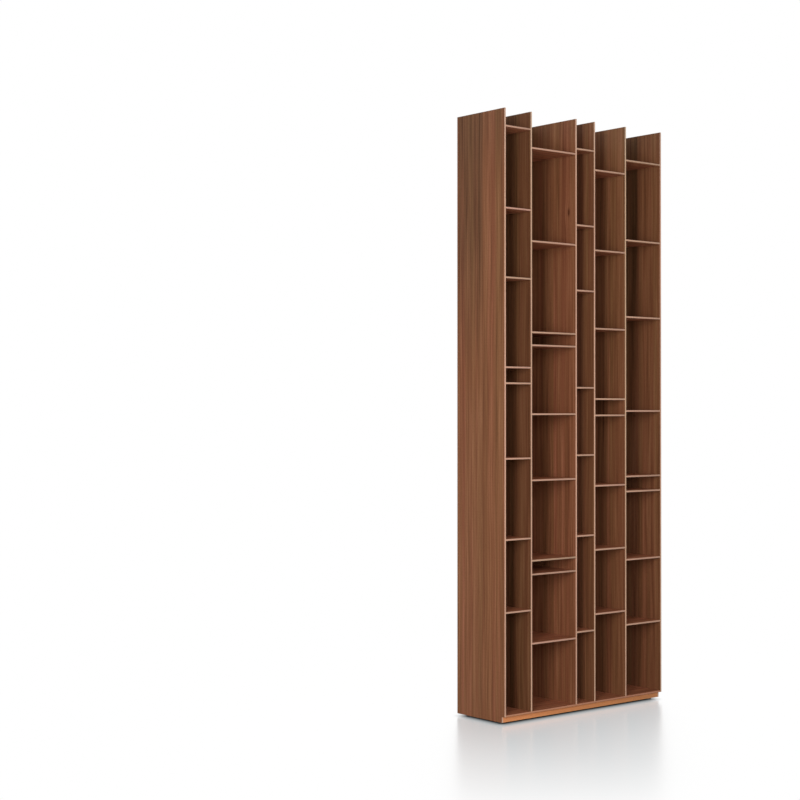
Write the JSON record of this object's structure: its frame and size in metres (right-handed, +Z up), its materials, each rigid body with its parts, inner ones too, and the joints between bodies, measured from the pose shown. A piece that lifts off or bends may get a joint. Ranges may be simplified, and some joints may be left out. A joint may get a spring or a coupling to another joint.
{
  "type": "modular bookcase",
  "caption": "Tall open bookcase with thin uprights, fixed shelves at uneven heights, a full back and a recessed plinth on levelling feet.",
  "frame": {"origin": "centre of the bounding box's footprint, on the floor", "axes": "+X to the right seen from the open front, +Y from the front to the back, +Z up"},
  "size_m": [0.816, 0.25, 2.163],
  "materials": {
    "walnut_veneer": "satin open-grain veneer",
    "plinth_wood": "satin",
    "pad_plastic": "matte",
    "stud_steel": "zinc plated",
    "insert_steel": "zinc plated"
  },
  "bodies": {
    "case": {"back_panel": "walnut_veneer", "base_board": "walnut_veneer", "column_1_shelf_1": "walnut_veneer", "column_1_shelf_2": "walnut_veneer", "column_1_shelf_3": "walnut_veneer", "column_1_shelf_4": "walnut_veneer", "column_1_shelf_5": "walnut_veneer", "column_1_shelf_6": "walnut_veneer", "column_1_shelf_7": "walnut_veneer", "column_1_shelf_8": "walnut_veneer", "column_2_shelf_1": "walnut_veneer", "column_2_shelf_2": "walnut_veneer", "column_2_shelf_3": "walnut_veneer", "column_2_shelf_4": "walnut_veneer", "column_2_shelf_5": "walnut_veneer", "column_2_shelf_6": "walnut_veneer", "column_2_shelf_7": "walnut_veneer", "column_2_shelf_8": "walnut_veneer", "column_2_shelf_9": "walnut_veneer", "column_3_shelf_1": "walnut_veneer", "column_3_shelf_2": "walnut_veneer", "column_3_shelf_3": "walnut_veneer", "column_3_shelf_4": "walnut_veneer", "column_3_shelf_5": "walnut_veneer", "column_3_shelf_6": "walnut_veneer", "column_3_shelf_7": "walnut_veneer", "column_4_shelf_1": "walnut_veneer", "column_4_shelf_2": "walnut_veneer", "column_4_shelf_3": "walnut_veneer", "column_4_shelf_4": "walnut_veneer", "column_4_shelf_5": "walnut_veneer", "column_4_shelf_6": "walnut_veneer", "column_4_shelf_7": "walnut_veneer", "column_4_shelf_8": "walnut_veneer", "column_5_shelf_1": "walnut_veneer", "column_5_shelf_2": "walnut_veneer", "column_5_shelf_3": "walnut_veneer", "column_5_shelf_4": "walnut_veneer", "column_5_shelf_5": "walnut_veneer", "column_5_shelf_6": "walnut_veneer", "column_5_shelf_7": "walnut_veneer", "column_5_shelf_8": "walnut_veneer", "foot_inserts": "insert_steel", "plinth_corner_blocks": "plinth_wood", "plinth_front_rail": "plinth_wood", "plinth_rear_rail": "plinth_wood", "side_panel_left": "walnut_veneer", "side_panel_right": "walnut_veneer", "upright_1": "walnut_veneer", "upright_2": "walnut_veneer", "upright_3": "walnut_veneer", "upright_4": "walnut_veneer"},
    "foot_pad_front_left": {"foot_pad_front_left": "pad_plastic"},
    "foot_stud_front_left": {"foot_stud_front_left": "stud_steel"},
    "foot_pad_front_right": {"foot_pad_front_right": "pad_plastic"},
    "foot_stud_front_right": {"foot_stud_front_right": "stud_steel"},
    "foot_pad_rear_left": {"foot_pad_rear_left": "pad_plastic"},
    "foot_stud_rear_left": {"foot_stud_rear_left": "stud_steel"},
    "foot_pad_rear_right": {"foot_pad_rear_right": "pad_plastic"},
    "foot_stud_rear_right": {"foot_stud_rear_right": "stud_steel"}
  },
  "joints": [
    {"name": "foot_slide_front_left", "type": "slide", "parent": "case", "child": "foot_pad_front_left", "axis": [0, 0, -1], "range_m": [0, 0.01]},
    {"name": "foot_turn_front_left", "type": "hinge", "parent": "foot_pad_front_left", "child": "foot_stud_front_left", "pos_m": [-0.38, -0.076, 0.009], "axis": [0, 0, -1], "range_deg": [0, 2880]},
    {"name": "foot_slide_front_right", "type": "slide", "parent": "case", "child": "foot_pad_front_right", "axis": [0, 0, -1], "range_m": [0, 0.01]},
    {"name": "foot_turn_front_right", "type": "hinge", "parent": "foot_pad_front_right", "child": "foot_stud_front_right", "pos_m": [0.38, -0.076, 0.009], "axis": [0, 0, -1], "range_deg": [0, 2880]},
    {"name": "foot_slide_rear_left", "type": "slide", "parent": "case", "child": "foot_pad_rear_left", "axis": [0, 0, -1], "range_m": [0, 0.01]},
    {"name": "foot_turn_rear_left", "type": "hinge", "parent": "foot_pad_rear_left", "child": "foot_stud_rear_left", "pos_m": [-0.38, 0.085, 0.009], "axis": [0, 0, -1], "range_deg": [0, 2880]},
    {"name": "foot_slide_rear_right", "type": "slide", "parent": "case", "child": "foot_pad_rear_right", "axis": [0, 0, -1], "range_m": [0, 0.01]},
    {"name": "foot_turn_rear_right", "type": "hinge", "parent": "foot_pad_rear_right", "child": "foot_stud_rear_right", "pos_m": [0.38, 0.085, 0.009], "axis": [0, 0, -1], "range_deg": [0, 2880]}
  ],
  "couplings": [
    {"joint": "foot_slide_front_left", "follows": "foot_turn_front_left", "m_per_rad": 0.00019894},
    {"joint": "foot_slide_front_right", "follows": "foot_turn_front_right", "m_per_rad": 0.00019894},
    {"joint": "foot_slide_rear_left", "follows": "foot_turn_rear_left", "m_per_rad": 0.00019894},
    {"joint": "foot_slide_rear_right", "follows": "foot_turn_rear_right", "m_per_rad": 0.00019894}
  ]
}
